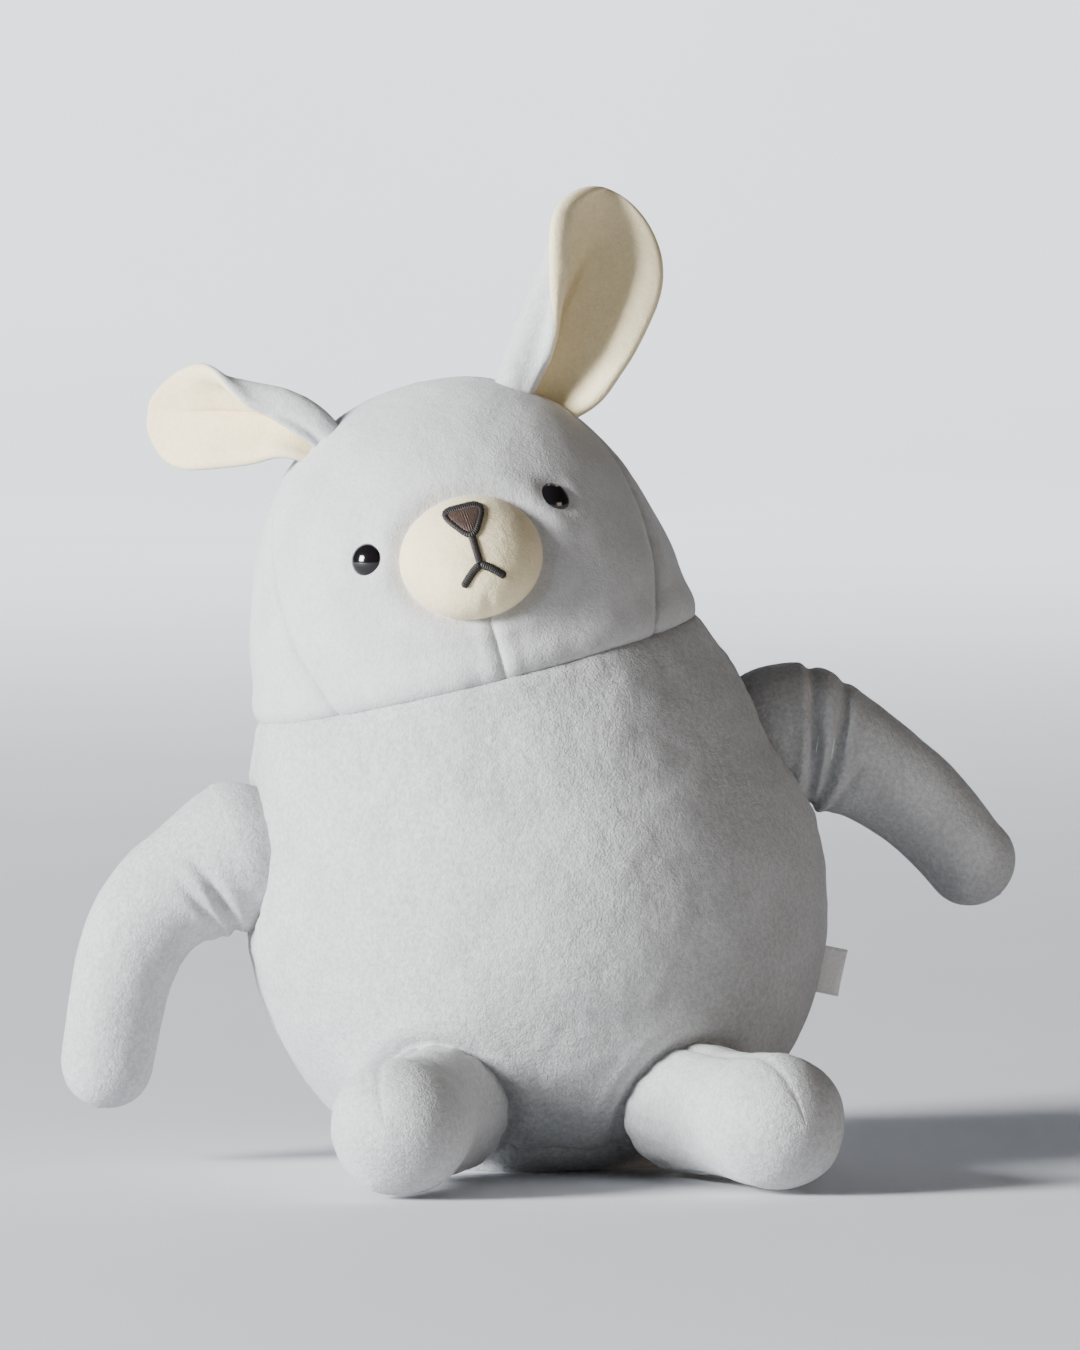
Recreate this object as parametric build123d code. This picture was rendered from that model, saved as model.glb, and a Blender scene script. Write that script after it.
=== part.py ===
from build123d import *
import os
from math import asin, atan2, cos, degrees, radians, sin, sqrt

# Seated plush rabbit: a bell-shaped body and head in one, leaning to its right, with sewn-on
# arms, legs and ears.  Millimetres.  The row frame has +Z up and +X to the rabbit's left; the
# rabbit faces -Y, and the origin is the centre of its flat seat, on the surface that it sits on.
# "Left" and "right" are the rabbit's own.

# ---- driving dimensions ------------------------------------------------------------------
cloth = 1.6             # plush cloth, pile included
gap = 0.5               # clearance round everything that moves

lean = 14.0             # degrees that the whole rabbit leans towards -X
ball_radius = 78.0      # round lower body
ball_height = 69.0      # its centre above the seat
neck_above_ball = 68.0  # neck seam above that centre, along the rabbit's own axis
dome_radius = 54.3      # top of the head
dome_height = 23.7      # its centre above the neck seam
flank = [(58.0, 20.0), (61.0, 0.0), (67.7, -20.0)]  # radius and height between dome and ball
dome_low_angle = 22.0   # where the dome's arc ends, degrees above its centre
ball_high_angle = 20.0  # where the ball's arc ends, degrees above its centre

face_seam_angle = 46.0  # face seams at the neck, degrees either side of the nose
ear_seam_height = 67.0  # the same seams reach the side of the head at this height
base_seam_height = 7.0  # round seat seam above the surface

eye_angle = 30.8        # degrees either side of the nose
eye_heights = {"left": 42.3, "right": 38.8}
eye_bead_radius = 4.8
eye_bead_height = 3.4
eye_post_radius = 1.9
eye_post_length = 9.0
washer_radius = 6.5
washer_thickness = 1.5

muzzle_size = (19.4, 17.0, 16.5)   # half width, depth and height
muzzle_centre = (0.0, -51.0, 33.1)
muzzle_tilt = 8.0
thread = 0.9            # height of the satin stitch
nose_width = 16.4
nose_height = 9.6
nose_above_muzzle = 9.3
mouth_stroke = 2.1
mouth_fork_drop = 1.2   # the fork, below the muzzle's centre
mouth_end_drop = 6.1
mouth_half_width = 5.8

arm_root_radius = 18.2
arm_tip_radius = 12.6
arm_taper = 1.6
arm_routes = {
    "right": [(-75.0, -35.5), (-97.0, -39.5), (-112.0, -53.0), (-124.5, -79.0)],
    "left": [(75.0, -38.0), (94.0, -50.0), (107.5, -64.5), (118.5, -85.0)],
}
knot_radius = 7.0       # gathered and knotted end of the arm's cloth
thread_hole_radius = 4.0

leg_radius = 18.4
leg_length = 52.0       # hip pivot to the centre of the rounded foot
leg_splay = 18.0
hip = (34.0, -57.0)     # x and y of the left hip pivot
arm_dimple = (31.7, 12.0)   # radius of the hollow pressed into the body, and its centre's offset
leg_dimple = (29.6, 7.0)

ear_length = 55.5
ear_half_outline = [(5.0, 1.0), (11.5, 8.0), (17.0, 20.0), (18.5, 33.0), (13.5, 47.0)]
ear_curl_radius = 23.0
ear_root_radius = 4.6
ear_base_angles = {"left": 34.0, "right": 30.3}     # on the dome, from the crown
ear_directions = {"left": (0.60, 0.0, 0.80), "right": (-0.729, 0.643, 0.2375)}
ear_turns = {"left": 34.0, "right": -16.0}          # how far the opening turns outwards

tail_radius = 14.0
tail_height = -98.0     # from the neck seam, along the rabbit's axis
label_size = (11.0, 0.5, 15.0)
label_height = -104.0

bag_radius = 37.0       # pellet bag in the seat
bag_half_height = 13.0
bag_cloth = 0.8

# ---- frames ------------------------------------------------------------------------------
# The rabbit's own frame has its origin at the centre of the neck seam and +Z along its axis.
rabbit = Pos(0, 0, ball_height) * Rot(0, -lean, 0) * Pos(0, 0, neck_above_ball)
ball_centre = Vector(0, 0, ball_height)
SIDES = {"left": 1, "right": -1}
far = 800.0             # larger than the rabbit
start_turn = -62.0      # degrees: round faces start clear of every seam


def save(shape, name):
    """Writes one sub-part, which is already in the row frame."""
    shape.label = name
    export_step(shape, f"parts/{name}.step")


def above(shape, plane):
    """The part of a shape on the side of a plane that its normal points to."""
    return shape & (plane * Box(far, far, far, align=(Align.CENTER, Align.CENTER, Align.MIN)))


def below(shape, plane):
    return shape & (plane * Box(far, far, far, align=(Align.CENTER, Align.CENTER, Align.MAX)))


# ---- body and head -----------------------------------------------------------------------
def bell(inset):
    """The round body and head as one solid with a flat seat, shrunk by inset on every side."""
    dome = dome_radius - inset
    ball = ball_radius - inset
    low, high = radians(dome_low_angle), radians(ball_high_angle)
    dome_end = (dome * cos(low), dome_height + dome * sin(low))
    ball_end = (ball * cos(high), -neck_above_ball + ball * sin(high))
    sides = [(r - inset, z) for r, z in flank]
    with BuildPart() as upper:
        with BuildSketch(Plane.XZ):
            with BuildLine():
                CenterArc((0, dome_height), dome, dome_low_angle, 90 - dome_low_angle)
                Spline(
                    dome_end, *sides, ball_end,
                    tangents=[(sin(low), -cos(low)), (sin(high), -cos(high))],
                )
                Polyline(ball_end, (0, ball_end[1]), (0, dome_height + dome))
            make_face()
        revolve(axis=Axis.Z)
    join = rabbit * Pos(0, 0, ball_end[1])
    lower = Pos(*ball_centre) * Rot(0, 0, start_turn) * Sphere(ball)
    lower = above(below(lower, Plane(join)), Plane.XY.offset(inset))
    return rabbit * Rot(0, 0, start_turn) * upper.part + lower


def on_dome(angle, rise=0.0):
    """A point above the dome in the rabbit's X-Z plane, angle in degrees from the crown to +X."""
    reach = dome_radius + rise
    return Vector(reach * sin(radians(angle)), 0, dome_height + reach * cos(radians(angle)))


outer = bell(0)
inner = bell(cloth)


def arm_route(side):
    """Centre line of an arm, in the rabbit's own frame."""
    return Spline(*[(x, 0, z) for x, z in arm_routes[side]])


def leg_route(side):
    """Centre line of a leg, in the row frame."""
    across = SIDES[side]
    start = Vector(across * hip[0], hip[1], leg_radius + gap)
    along = Vector(across * sin(radians(leg_splay)), -cos(radians(leg_splay)), 0)
    return Line(start, start + along * leg_length)


def dimple(root, radius, offset):
    """The hollow that a limb's root presses into the body, a ball further out than the root."""
    outward = (root - ball_centre).normalized()
    return Pos(*(root + outward * offset)) * Rot(0, 0, start_turn) * Sphere(radius)


def limb(route, root_radius, tip_radius, taper, inset):
    """A stuffed tube with round ends, lofted along its route."""
    def section(point, direction, radius):
        return Plane(origin=point, z_dir=direction) * Circle(radius)

    rounds = (78, 52, 26)
    start, end = route @ 0, route @ 1
    first, last = route % 0, route % 1
    root, tip = root_radius - inset, tip_radius - inset
    sections = [
        section(start - first * root * sin(radians(a)), first, root * cos(radians(a))) for a in rounds
    ]
    for step in range(6):
        along = step / 5
        radius = tip + (root - tip) * (1 - along) ** taper
        sections.append(section(route @ along, route % along, radius))
    sections += [
        section(end + last * tip * sin(radians(a)), last, tip * cos(radians(a))) for a in reversed(rounds)
    ]
    return loft(Sketch() + sections)


def shoulder(side):
    """The pivot of an arm, in the row frame."""
    x, z = arm_routes[side][0]
    return (rabbit * Pos(x, 0, z)).position


pressed = outer
filling = inner
for side in SIDES:
    for hollow in (
        dimple(shoulder(side), *arm_dimple),
        dimple(leg_route(side) @ 0, *leg_dimple),
    ):
        pressed = pressed - hollow
        filling = filling - hollow
skin = pressed - inner


# ---- eyes --------------------------------------------------------------------------------
def eye_plane(side):
    """Where an eye sits on the head, with its Z axis pointing out of the cloth."""
    height = eye_heights[side]
    turn = radians(SIDES[side] * eye_angle)
    rise = asin((height - dome_height) / dome_radius)
    radius = dome_radius * cos(rise) - 0.4
    point = (radius * sin(turn), -radius * cos(turn), height)
    out = (cos(rise) * sin(turn), -cos(rise) * cos(turn), sin(rise))
    return Plane(origin=point, z_dir=out)


def eye(side):
    """A domed bead on a post that passes through the cloth."""
    bead = above(scale(Sphere(eye_bead_radius), (1, 1, eye_bead_height / eye_bead_radius)), Plane.XY)
    post = Pos(0, 0, -eye_post_length / 2) * Cylinder(eye_post_radius, eye_post_length)
    return rabbit * eye_plane(side).location * (bead + post)


def washer(side):
    """The disc that is pressed onto the post behind the cloth."""
    ring = Cylinder(washer_radius, washer_thickness) - Cylinder(eye_post_radius, washer_thickness)
    return rabbit * eye_plane(side).location * Pos(0, 0, -cloth - 1.2 - washer_thickness / 2) * ring


eyes = {side: eye(side) for side in SIDES}
washers = {side: washer(side) - eyes[side] for side in SIDES}
for side in SIDES:
    skin = skin - eyes[side]
    filling = filling - eyes[side] - washers[side]


# ---- muzzle, nose and mouth --------------------------------------------------------------
def muzzle_ball(inset):
    size = tuple(half - inset for half in muzzle_size)
    ball = scale(Sphere(1), size)
    return rabbit * Pos(*muzzle_centre) * Rot(-muzzle_tilt, 0, 0) * ball


def stitched(outline):
    """Satin stitch: the outline, seen from the front, as a thin layer over the muzzle."""
    column = rabbit * extrude(Plane.XZ * (Pos(0, muzzle_centre[2]) * outline), 90)
    return ((muzzle_ball(-thread) - muzzle_ball(0)) & column) - outer


def stroke(start, end):
    run = Vector(*end) - Vector(*start)
    middle = (Vector(*start) + Vector(*end)) * 0.5
    slot = SlotCenterToCenter(run.length, mouth_stroke)
    return Pos(middle.X, middle.Y) * Rot(0, 0, degrees(atan2(run.Y, run.X))) * slot


half_nose = nose_width / 2
nose_outline = Pos(0, nose_above_muzzle) * fillet(
    make_face(
        Polyline(
            (-half_nose, nose_height / 2),
            (half_nose, nose_height / 2),
            (0, -nose_height / 2),
            close=True,
        )
    ).vertices(),
    1.6,
)
fork = (0, -mouth_fork_drop)
mouth_outline = stroke((0, nose_above_muzzle - nose_height / 2 + 2.0), fork)
for across in SIDES.values():
    mouth_outline = mouth_outline + stroke(fork, (across * mouth_half_width, -mouth_end_drop))

nose = stitched(nose_outline)
mouth = stitched(mouth_outline) - nose
muzzle_cover = muzzle_ball(0) - muzzle_ball(cloth) - outer
muzzle_filling = muzzle_ball(cloth) - outer


# ---- tail, label and pellet bag ----------------------------------------------------------
ball_slope = asin((tail_height + neck_above_ball) / ball_radius)
tail_reach = ball_radius + 0.55 * tail_radius
tail_centre = (0, tail_reach * cos(ball_slope), -neck_above_ball + tail_reach * sin(ball_slope))
tail_place = rabbit * Pos(*tail_centre)
tail_cover = tail_place * (Sphere(tail_radius) - Sphere(tail_radius - cloth)) - outer
tail_filling = tail_place * Sphere(tail_radius - cloth) - outer

label_drop = label_height + neck_above_ball
label_reach = sqrt(ball_radius**2 - label_drop**2)
label_turn = degrees(atan2(-label_drop, label_reach))
label_place = rabbit * Pos(label_reach + 3, 0, label_height) * Rot(0, label_turn, 0)
label = label_place * Box(*label_size) - outer

bag_height = cloth + bag_half_height + 1.0


def bag_shape(inset):
    size = (bag_radius - inset, bag_radius - inset, bag_half_height - inset)
    return Pos(0, 0, bag_height) * scale(Sphere(1), size)


pellet_bag = bag_shape(0) - bag_shape(bag_cloth)
pellets = bag_shape(bag_cloth)
filling = filling - bag_shape(0)

# ---- cut the skin into its sewn panels ---------------------------------------------------
neck_plane = Plane(rabbit)
seat_seam = Plane.XY.offset(base_seam_height)
seam_start = Vector(0, -flank[1][0] * cos(radians(face_seam_angle)), 0)
seam_rise = Vector(0, -seam_start.Y, ear_seam_height)
forward = Vector(1, 0, 0).cross(seam_rise)
face_plane = Plane(rabbit * Plane(origin=seam_start, x_dir=(1, 0, 0), z_dir=forward).location)
front_half = Plane(rabbit * Plane.XZ.location)      # its normal points forwards, to -Y
left_half = Plane(rabbit * Plane.YZ.location)       # its normal points to the rabbit's left

head_skin = above(skin, neck_plane)
body_skin = above(below(skin, neck_plane), seat_seam)
face_back = below(head_skin, face_plane)
body_back = below(body_skin, front_half)

panels = {
    "face_panel": above(head_skin, face_plane),
    "head_back_left": above(face_back, left_half),
    "head_back_right": below(face_back, left_half),
    "body_front": above(body_skin, front_half),
    "body_back_left": above(body_back, left_half),
    "body_back_right": below(body_back, left_half),
    "base_panel": below(skin, seat_seam),
}


# ---- ears --------------------------------------------------------------------------------
def ear(side):
    """Grey back and pale lining of one ear: two leaf-shaped panels curled into a scoop."""
    foot_x, foot_z = ear_half_outline[0]
    mirrored = [(-x, z) for x, z in reversed(ear_half_outline)]
    rim = Spline(*ear_half_outline, (0, ear_length), *mirrored)
    outline = Plane.XZ * make_face([rim, Line((-foot_x, foot_z), (foot_x, foot_z))])
    leaf = extrude(outline, 30, both=True)

    def curl(outside):
        tube = Cylinder(outside, 2 * ear_length) - Cylinder(outside - cloth, 2 * ear_length)
        return below(Pos(0, -ear_curl_radius, ear_length) * tube, Plane.XZ.offset(ear_curl_radius))

    root = Sphere(ear_root_radius)
    back = (leaf & curl(ear_curl_radius + cloth)) + root
    lining = (leaf & curl(ear_curl_radius)) - root
    across = SIDES[side]
    pivot = on_dome(across * ear_base_angles[side], ear_root_radius + gap)
    along = Vector(*ear_directions[side]).normalized()
    width = Vector(0, 1, 0).cross(along).normalized()
    place = Plane(origin=pivot, x_dir=width, z_dir=along).location * Rot(0, 0, ear_turns[side])
    return place * back, place * lining


# ---- write every sub-part ----------------------------------------------------------------
os.makedirs("parts", exist_ok=True)
for name, panel in panels.items():
    save(panel, name)
save(filling, "body_filling")
save(muzzle_cover, "muzzle_cover")
save(muzzle_filling, "muzzle_filling")
save(nose, "nose_embroidery")
save(mouth, "mouth_embroidery")
save(tail_cover, "tail_cover")
save(tail_filling, "tail_filling")
save(label, "care_label")
save(pellet_bag, "pellet_bag")
save(pellets, "pellets")

for side, across in SIDES.items():
    save(eyes[side], f"{side}_eye")
    save(washers[side], f"{side}_eye_washer")

    ear_back, ear_lining = ear(side)
    save(rabbit * ear_back, f"{side}_ear_back")
    save(rabbit * ear_lining, f"{side}_ear_lining")

    route = arm_route(side)
    arm_outer = limb(route, arm_root_radius, arm_tip_radius, arm_taper, 0)
    arm_inner = limb(route, arm_root_radius, arm_tip_radius, arm_taper, cloth)
    socket = Pos(*(route @ 0)) * Sphere(knot_radius + gap)
    hole = Plane(origin=(route @ 0), z_dir=-(route % 0)) * Cylinder(
        thread_hole_radius, 2 * arm_root_radius, align=(Align.CENTER, Align.CENTER, Align.MIN)
    )
    save(rabbit * (arm_outer - arm_inner - hole), f"{side}_arm_cover")
    save(rabbit * (arm_inner - socket - hole), f"{side}_arm_filling")
    save(rabbit * (Pos(*(route @ 0)) * Sphere(knot_radius)), f"{side}_arm_knot")

    route = leg_route(side)
    leg_outer = limb(route, leg_radius, leg_radius, 1, 0)
    leg_inner = limb(route, leg_radius, leg_radius, 1, cloth)
    save(leg_outer - leg_inner, f"{side}_leg_cover")
    save(leg_inner, f"{side}_leg_filling")
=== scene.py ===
"""Plush rabbit, seated and leaning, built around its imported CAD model.

Shapes are worked out in millimetres in the rabbit's own frame (origin at the centre of the neck
seam, +Z along its leaning axis, facing -Y) and moved into the row frame in metres.
"""

from math import asin, cos, hypot, pi, radians, sin, sqrt

import bmesh
import bpy
import numpy as np
from mathutils import Matrix, Vector


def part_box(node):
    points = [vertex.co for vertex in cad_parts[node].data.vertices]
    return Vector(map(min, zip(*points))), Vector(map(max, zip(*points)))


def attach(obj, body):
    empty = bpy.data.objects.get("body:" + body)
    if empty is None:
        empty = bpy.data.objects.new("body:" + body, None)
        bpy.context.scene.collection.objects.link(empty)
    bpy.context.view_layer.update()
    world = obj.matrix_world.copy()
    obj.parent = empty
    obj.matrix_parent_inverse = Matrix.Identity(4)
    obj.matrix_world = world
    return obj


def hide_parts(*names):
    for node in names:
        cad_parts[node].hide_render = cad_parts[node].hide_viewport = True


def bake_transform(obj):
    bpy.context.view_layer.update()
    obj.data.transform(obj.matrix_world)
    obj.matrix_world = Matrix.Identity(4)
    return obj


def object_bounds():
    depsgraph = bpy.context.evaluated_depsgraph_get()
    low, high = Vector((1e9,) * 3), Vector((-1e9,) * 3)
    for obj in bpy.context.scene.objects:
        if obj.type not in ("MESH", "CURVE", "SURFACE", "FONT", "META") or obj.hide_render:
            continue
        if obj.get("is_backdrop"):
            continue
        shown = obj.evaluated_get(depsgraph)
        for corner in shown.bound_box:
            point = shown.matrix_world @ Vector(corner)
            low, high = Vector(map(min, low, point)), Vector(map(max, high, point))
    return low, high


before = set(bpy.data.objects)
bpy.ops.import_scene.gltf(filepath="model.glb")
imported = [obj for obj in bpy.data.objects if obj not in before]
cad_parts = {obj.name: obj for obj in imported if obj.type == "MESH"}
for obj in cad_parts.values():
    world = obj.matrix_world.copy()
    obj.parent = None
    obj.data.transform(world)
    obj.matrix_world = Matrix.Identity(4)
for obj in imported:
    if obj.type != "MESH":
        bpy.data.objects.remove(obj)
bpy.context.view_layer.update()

MM = 0.001
SIDES = {"left": 1, "right": -1}

# ---- the rabbit's size, as the CAD model has it (mm) ----
LEAN = 14.0
BALL_R, BALL_Z, NECK_ABOVE_BALL = 78.0, 69.0, 68.0
DOME_R, DOME_Z = 54.3, 23.7
FLANK = [(58.0, 20.0), (61.0, 0.0), (67.7, -20.0)]
DOME_LOW, BALL_HIGH = radians(22.0), radians(20.0)
FACE_SEAM_ANGLE, EAR_SEAM_Z = radians(46.0), 67.0
SEAT_SEAM_Z = 7.0
EYE_ANGLE = radians(30.8)
EYE_Z = {"left": 42.3, "right": 38.8}
EYE_R, EYE_H = 4.8, 3.4
POST_R, POST_LENGTH = 1.9, 9.0
MUZZLE_HALF, MUZZLE_Z, MUZZLE_RISE = (19.4, 16.4), 33.1, 13.0
MUZZLE_MEAN_R = 17.5
NOSE_Z = MUZZLE_Z + 9.3
NOSE_HALF_W, NOSE_HALF_H = 6.3, 4.3
MOUTH_FORK_DROP, MOUTH_BEND, MOUTH_END = 1.2, (2.6, 3.0), (5.8, 6.1)
ARM_ROUTES = {
    "right": [(-75.0, -35.5), (-97.0, -39.5), (-112.0, -53.0), (-124.5, -79.0)],
    "left": [(75.0, -38.0), (94.0, -50.0), (107.5, -64.5), (118.5, -85.0)],
}
ARM_ROOT_R, ARM_TIP_R, ARM_TAPER = 18.2, 12.6, 1.6
HIP = (34.0, -57.0)
LEG_R, LEG_LENGTH, LEG_SPLAY = 18.4, 52.0, radians(18.0)
EAR_BASE = {"left": radians(34.0), "right": radians(30.3)}
EAR_DIRECTION = {"left": (0.60, 0.0, 0.80), "right": (-0.729, 0.643, 0.2375)}
EAR_TURN = {"left": radians(13.0), "right": 0.0}
EAR_LENGTH, EAR_RISE, EAR_ROOT = 55.5, 5.1, 13.0
TAIL_R, TAIL_Z = 14.0, -98.0
LABEL_WIDTH, LABEL_REACH, LABEL_TILT = 13.0, 11.0, radians(12.0)

# ---- cloth (mm, but for the count of gathers) ----
PANEL_THICKNESS, TURN_IN = 1.2, 1.3
SEAT_GAP, LEG_GAP = 0.25, 0.3
HIP_Z = LEG_R + 0.5
GATHERS = 17
ARM_SEAM_R, LEG_SEAM_R = 15.0, 17.0
BODY_COVER, LIMB_COVER, SMALL_COVER = 6.5, 4.0, 2.5
ARM_BLEND, LEG_BLEND, EAR_BLEND = 36.0, 34.0, 22.0

ROW = (
    Matrix.Translation((0, 0, BALL_Z))
    @ Matrix.Rotation(radians(-LEAN), 4, "Y")
    @ Matrix.Translation((0, 0, NECK_ABOVE_BALL))
)
ROW_A = np.array(ROW)


def to_row(points):
    """Points in the rabbit's frame, in mm, as points in the row frame, still in mm."""
    return points @ ROW_A[:3, :3].T + ROW_A[:3, 3]


def from_row(points):
    """Points in the row frame, in mm, as points in the rabbit's frame."""
    return (points - ROW_A[:3, 3]) @ ROW_A[:3, :3]


def row_point(x, y, z):
    """One point in the rabbit's frame, in mm, as a row frame point in metres."""
    return (ROW @ Vector((x, y, z))) * MM


# ---- noise ----
RNG = np.random.default_rng(11)
GRADIENTS = RNG.normal(size=(4096, 3))
GRADIENTS /= np.linalg.norm(GRADIENTS, axis=1)[:, None]


def noise(points, scale, octaves=1, shift=0.0):
    """Gradient noise of about -1 to 1, with features of the given size."""
    total, weight = np.zeros(len(points)), 1.0
    for octave in range(octaves):
        p = points / scale * 2.0**octave + shift + 17.3 * octave
        cell = np.floor(p).astype(np.int64)
        f = p - cell
        fade = f * f * f * (f * (f * 6 - 15) + 10)
        value = np.zeros(len(points))
        for corner in np.ndindex(2, 2, 2):
            c = cell + corner
            key = (c[:, 0] * 73856093 ^ c[:, 1] * 19349663 ^ c[:, 2] * 83492791) & 4095
            dot = np.einsum("ij,ij->i", GRADIENTS[key], f - corner)
            near = np.prod(np.where(np.array(corner) == 1, fade, 1 - fade), axis=1)
            value += dot * near
        total += value * weight * 1.6
        weight *= 0.5
    return total


def bump(d, width):
    """A smooth hump of height 1 at distance 0."""
    return np.exp(-((d / width) ** 2))


def crease(d, width):
    """A sharp valley of depth 1 at distance 0."""
    return -np.exp(-np.abs(d) / width)


def smooth_step(x, low, high):
    """0 below low, 1 above high, and a smooth rise between them."""
    t = np.clip((x - low) / (high - low), 0, 1)
    return t * t * (3 - 2 * t)


# ---- mesh helpers ----
def new_object(name, verts, faces, material):
    """A smooth-shaded object from vertices in metres."""
    mesh = bpy.data.meshes.new(name)
    mesh.from_pydata([tuple(v) for v in verts], [], [tuple(f) for f in faces])
    mesh.polygons.foreach_set("use_smooth", [True] * len(mesh.polygons))
    mesh.materials.append(material)
    mesh.update()
    obj = bpy.data.objects.new(name, mesh)
    bpy.context.scene.collection.objects.link(obj)
    return obj


def grid_faces(rows, cols, wrap=True, start=0):
    """Quads of a grid of rows x cols vertices, closed around the columns if wrap."""
    faces = []
    for i in range(rows - 1):
        for j in range(cols if wrap else cols - 1):
            k = (j + 1) % cols
            a, b = start + i * cols, start + (i + 1) * cols
            faces.append((a + j, a + k, b + k, b + j))
    return faces


def capped_tube(rings, cols):
    """Faces of a closed tube of rings, whose last two vertices are its end points."""
    faces = grid_faces(rings, cols)
    first_pole, last_pole = rings * cols, rings * cols + 1
    last = (rings - 1) * cols
    for j in range(cols):
        k = (j + 1) % cols
        faces.append((first_pole, k, j))
        faces.append((last_pole, last + j, last + k))
    return faces


def reshape(obj, change):
    """Moves an object's vertices by a function of their places in the row frame, in mm."""
    co = np.empty(len(obj.data.vertices) * 3)
    obj.data.vertices.foreach_get("co", co)
    co = change(co.reshape(-1, 3) / MM) * MM
    obj.data.vertices.foreach_set("co", co.ravel())
    obj.data.update()


def outward(obj):
    """Turns every face of a closed mesh outwards."""
    bm = bmesh.new()
    bm.from_mesh(obj.data)
    bmesh.ops.recalc_face_normals(bm, faces=bm.faces)
    bm.to_mesh(obj.data)
    bm.free()
    return obj


def apply_modifier(obj, kind, **settings):
    """Adds a modifier and bakes it into the object's mesh."""
    modifier = obj.modifiers.new(kind.title(), kind)
    for key, value in settings.items():
        setattr(modifier, key, value)
    depsgraph = bpy.context.evaluated_depsgraph_get()
    mesh = bpy.data.meshes.new_from_object(obj.evaluated_get(depsgraph))
    obj.modifiers.clear()
    obj.data = mesh
    return obj


def catmull(points, samples, first=None, last=None):
    """A smooth curve through points, as an array of samples evenly spaced along it."""
    p = [np.array(q, float) for q in points]
    tangents = [(p[min(i + 1, len(p) - 1)] - p[max(i - 1, 0)]) / 2 for i in range(len(p))]
    if first is not None:
        tangents[0] = np.array(first, float) * np.linalg.norm(p[1] - p[0])
    if last is not None:
        tangents[-1] = np.array(last, float) * np.linalg.norm(p[-1] - p[-2])
    dense = []
    for a, b, ta, tb in zip(p, p[1:], tangents, tangents[1:]):
        for t in np.linspace(0, 1, 60, endpoint=False):
            h = (2 * t**3 - 3 * t**2 + 1, t**3 - 2 * t**2 + t, -2 * t**3 + 3 * t**2, t**3 - t**2)
            dense.append(h[0] * a + h[1] * ta + h[2] * b + h[3] * tb)
    dense.append(p[-1])
    return resample(np.array(dense), samples)


def resample(line, samples):
    """A polyline's points, evenly spaced along it."""
    steps = np.linalg.norm(np.diff(line, axis=0), axis=1)
    along = np.concatenate([[0], np.cumsum(steps)])
    wanted = np.linspace(0, along[-1], samples)
    return np.stack([np.interp(wanted, along, line[:, i]) for i in range(line.shape[1])], axis=1)


# ---- materials ----
def nodes_of(name):
    """A new material, its node tree and its shader."""
    material = bpy.data.materials.new(name)
    material.use_nodes = True
    tree = material.node_tree
    shader = tree.nodes["Principled BSDF"]
    return material, tree, shader


def set_inputs(node, values):
    """Sets a node's own values by the names of its sockets."""
    for socket, value in values.items():
        node.inputs[socket].default_value = value


def object_noise(tree, scale, detail=3.0, stretch=None):
    """A noise texture in metres of the row frame, stretched along the axes if asked."""
    place = tree.nodes.new("ShaderNodeTexCoord")
    texture = tree.nodes.new("ShaderNodeTexNoise")
    set_inputs(texture, {"Scale": scale, "Detail": detail})
    vector = place.outputs["Object"]
    if stretch:
        mapping = tree.nodes.new("ShaderNodeMapping")
        mapping.inputs["Scale"].default_value = stretch
        tree.links.new(vector, mapping.inputs["Vector"])
        vector = mapping.outputs["Vector"]
    tree.links.new(vector, texture.inputs["Vector"])
    return texture.outputs["Fac"]


def mix_colour(tree, factor, dark, light, low=0.35, high=0.65):
    """Two colours mixed by a noise value that runs from low to high."""
    ramp = tree.nodes.new("ShaderNodeValToRGB")
    ramp.color_ramp.elements[0].position = low
    ramp.color_ramp.elements[1].position = high
    ramp.color_ramp.elements[0].color = (*dark, 1)
    ramp.color_ramp.elements[1].color = (*light, 1)
    tree.links.new(factor, ramp.inputs["Fac"])
    return ramp.outputs["Color"]


def multiply(tree, a, b):
    """Two colours multiplied together."""
    mix = tree.nodes.new("ShaderNodeMix")
    mix.data_type = "RGBA"
    mix.blend_type = "MULTIPLY"
    mix.inputs["Factor"].default_value = 1.0
    tree.links.new(a, mix.inputs["A"])
    tree.links.new(b, mix.inputs["B"])
    return mix.outputs["Result"]


def add_bump(tree, shader, height, strength, distance, under=None):
    """Small relief of the given depth in metres, over another one if given."""
    node = tree.nodes.new("ShaderNodeBump")
    set_inputs(node, {"Strength": strength, "Distance": distance})
    tree.links.new(height, node.inputs["Height"])
    if under is not None:
        tree.links.new(under, node.inputs["Normal"])
    tree.links.new(node.outputs["Normal"], shader.inputs["Normal"])
    return node.outputs["Normal"]


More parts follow.
